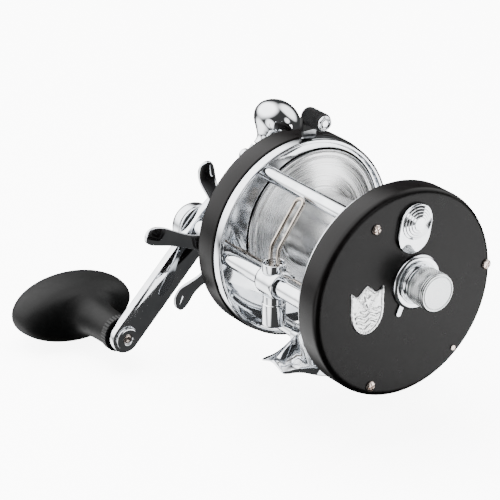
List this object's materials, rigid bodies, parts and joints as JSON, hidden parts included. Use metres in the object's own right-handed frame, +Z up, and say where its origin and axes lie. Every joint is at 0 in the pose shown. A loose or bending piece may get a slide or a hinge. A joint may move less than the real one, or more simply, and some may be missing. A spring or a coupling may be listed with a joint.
{
  "type": "trolling reel",
  "caption": "Round level-wind trolling reel with black side plates, chromed frame and spool, star drag, power handle with counterweight, thumb button and bait clicker.",
  "frame": {"origin": "on the axis of the rod seat, below the middle of the frame", "axes": "+X along the spool from the handle side to the palm side, +Y to the rear along the rod, +Z up"},
  "size_m": [0.1476, 0.1007, 0.0942],
  "materials": {
    "polished_chrome": "mirror polished chrome plate",
    "turned_aluminium": "lathe turned and polished",
    "steel": "ground and polished stainless steel",
    "brass": "machined brass",
    "black_plate": "satin black enamel on aluminium",
    "black_knurl": "black anodised and knurled",
    "soft_grip": "matt soft-touch moulding",
    "fibre": "pressed fibre",
    "nylon": "moulded acetal",
    "knurled_cap": "satin, finely cross-knurled"
  },
  "bodies": {
    "frame": {"handle_side_ring": "polished_chrome", "palm_side_ring": "polished_chrome", "frame_pillars": "polished_chrome", "reel_foot": "polished_chrome", "levelwind_tube": "polished_chrome", "levelwind_guide_bar": "steel", "worm_bushings": "nylon", "handle_side_plate": "black_plate", "bridge_plate": "brass", "bridge_posts": "steel", "bridge_screws": "steel", "drive_bushing": "polished_chrome", "handle_side_bearing": "steel", "bearing_cap": "polished_chrome", "takedown_screws": "polished_chrome", "palm_side_plate": "black_plate", "palm_plate_fasteners": "steel", "plate_badge": "polished_chrome", "click_bezel": "polished_chrome", "brake_ring": "brass", "palm_side_bearing": "steel", "tension_flange": "polished_chrome", "yoke_springs": "steel"},
    "tension_knob": {"tension_cap": "knurled_cap", "tension_spring_disc": "brass"},
    "clicker": {"click_button": "polished_chrome", "click_pawl": "brass"},
    "spool": {"spool": "turned_aluminium", "spool_shaft": "steel", "click_gear": "nylon", "brake_hub": "nylon"},
    "brake_upper": {"brake_block_upper": "fibre"},
    "brake_lower": {"brake_block_lower": "fibre"},
    "main_gear": {"main_gear": "brass", "drag_washers": "fibre", "drag_plates": "steel"},
    "yoke": {"clutch_yoke": "steel"},
    "pinion": {"pinion": "brass"},
    "free_spool": {"thumb_slide": "steel", "thumb_button": "black_knurl", "thumb_button_screw": "polished_chrome"},
    "idler": {"idler_gear": "nylon"},
    "worm": {"worm_shaft": "steel", "worm_gear": "nylon"},
    "carriage": {"levelwind_carriage": "polished_chrome", "line_guide_wire": "steel", "pawl_cap": "polished_chrome"},
    "pawl": {"levelwind_pawl": "steel"},
    "handle": {"drive_shaft": "steel", "ratchet_wheel": "steel", "levelwind_cog": "nylon", "drag_sleeve": "polished_chrome", "handle_arm": "polished_chrome", "counterweight": "polished_chrome", "handle_nut": "polished_chrome", "nut_cap": "polished_chrome", "knob_spindle": "polished_chrome"},
    "star": {"star_drag": "polished_chrome"},
    "knob": {"power_knob": "soft_grip"},
    "dog": {"anti_reverse_dog": "steel"}
  },
  "joints": [
    {"name": "handle_turn", "type": "hinge", "parent": "frame", "child": "handle", "pos_m": [0, -0.0129, 0.0307], "axis": [1, 0, 0], "continuous": true},
    {"name": "star_turn", "type": "hinge", "parent": "handle", "child": "star", "pos_m": [0, -0.0129, 0.0307], "axis": [1, 0, 0], "range_deg": [-120, 240]},
    {"name": "knob_spin", "type": "hinge", "parent": "handle", "child": "knob", "pos_m": [0, -0.04369, -0.00074], "axis": [1, 0, 0], "continuous": true},
    {"name": "main_gear_turn", "type": "hinge", "parent": "frame", "child": "main_gear", "pos_m": [0, -0.0129, 0.0307], "axis": [1, 0, 0], "continuous": true},
    {"name": "spool_spin", "type": "hinge", "parent": "frame", "child": "spool", "pos_m": [0, 0.004, 0.0421], "axis": [1, 0, 0], "continuous": true},
    {"name": "brake_upper_slide", "type": "slide", "parent": "spool", "child": "brake_upper", "axis": [0, 0, 1], "range_m": [0, 0.001]},
    {"name": "brake_lower_slide", "type": "slide", "parent": "spool", "child": "brake_lower", "axis": [0, 0, -1], "range_m": [0, 0.001]},
    {"name": "thumb_press", "type": "slide", "parent": "frame", "child": "free_spool", "axis": [0, 0, -1], "range_m": [0, 0.0022], "stiffness_N_per_m": 400, "springref_m": -0.004},
    {"name": "yoke_lift", "type": "slide", "parent": "frame", "child": "yoke", "axis": [-1, 0, 0], "range_m": [0, 0.002], "deforming": ["yoke_springs"]},
    {"name": "pinion_spin", "type": "hinge", "parent": "yoke", "child": "pinion", "pos_m": [0, 0.004, 0.0421], "axis": [1, 0, 0], "continuous": true},
    {"name": "idler_spin", "type": "hinge", "parent": "frame", "child": "idler", "pos_m": [0, -0.02092, 0.03793], "axis": [1, 0, 0], "continuous": true},
    {"name": "worm_spin", "type": "hinge", "parent": "frame", "child": "worm", "pos_m": [0, -0.0286, 0.0393], "axis": [1, 0, 0], "continuous": true},
    {"name": "carriage_slide", "type": "slide", "parent": "frame", "child": "carriage", "axis": [1, 0, 0], "range_m": [-0.0178, 0.0133]},
    {"name": "pawl_turn", "type": "hinge", "parent": "carriage", "child": "pawl", "pos_m": [0.003, -0.0286, 0.0393], "axis": [0, 0, 1], "range_deg": [-30, 30]},
    {"name": "tension_turn", "type": "hinge", "parent": "frame", "child": "tension_knob", "pos_m": [0, 0.004, 0.0421], "axis": [1, 0, 0], "range_deg": [-180, 180]},
    {"name": "clicker_slide", "type": "slide", "parent": "frame", "child": "clicker", "axis": [0, -0.1736, -0.9848], "range_m": [0, 0.004]},
    {"name": "dog_swing", "type": "hinge", "parent": "frame", "child": "dog", "pos_m": [0, -0.0014, 0.0242], "axis": [1, 0, 0], "range_deg": [-15, 0]}
  ],
  "couplings": [
    {"joint": "main_gear_turn", "follows": "handle_turn", "ratio": 1},
    {"joint": "spool_spin", "follows": "handle_turn", "ratio": -3.8571},
    {"joint": "pinion_spin", "follows": "handle_turn", "ratio": -3.8571},
    {"joint": "idler_spin", "follows": "handle_turn", "ratio": -1.25},
    {"joint": "worm_spin", "follows": "handle_turn", "ratio": 2},
    {"joint": "yoke_lift", "follows": "thumb_press", "ratio": 0.90909}
  ]
}
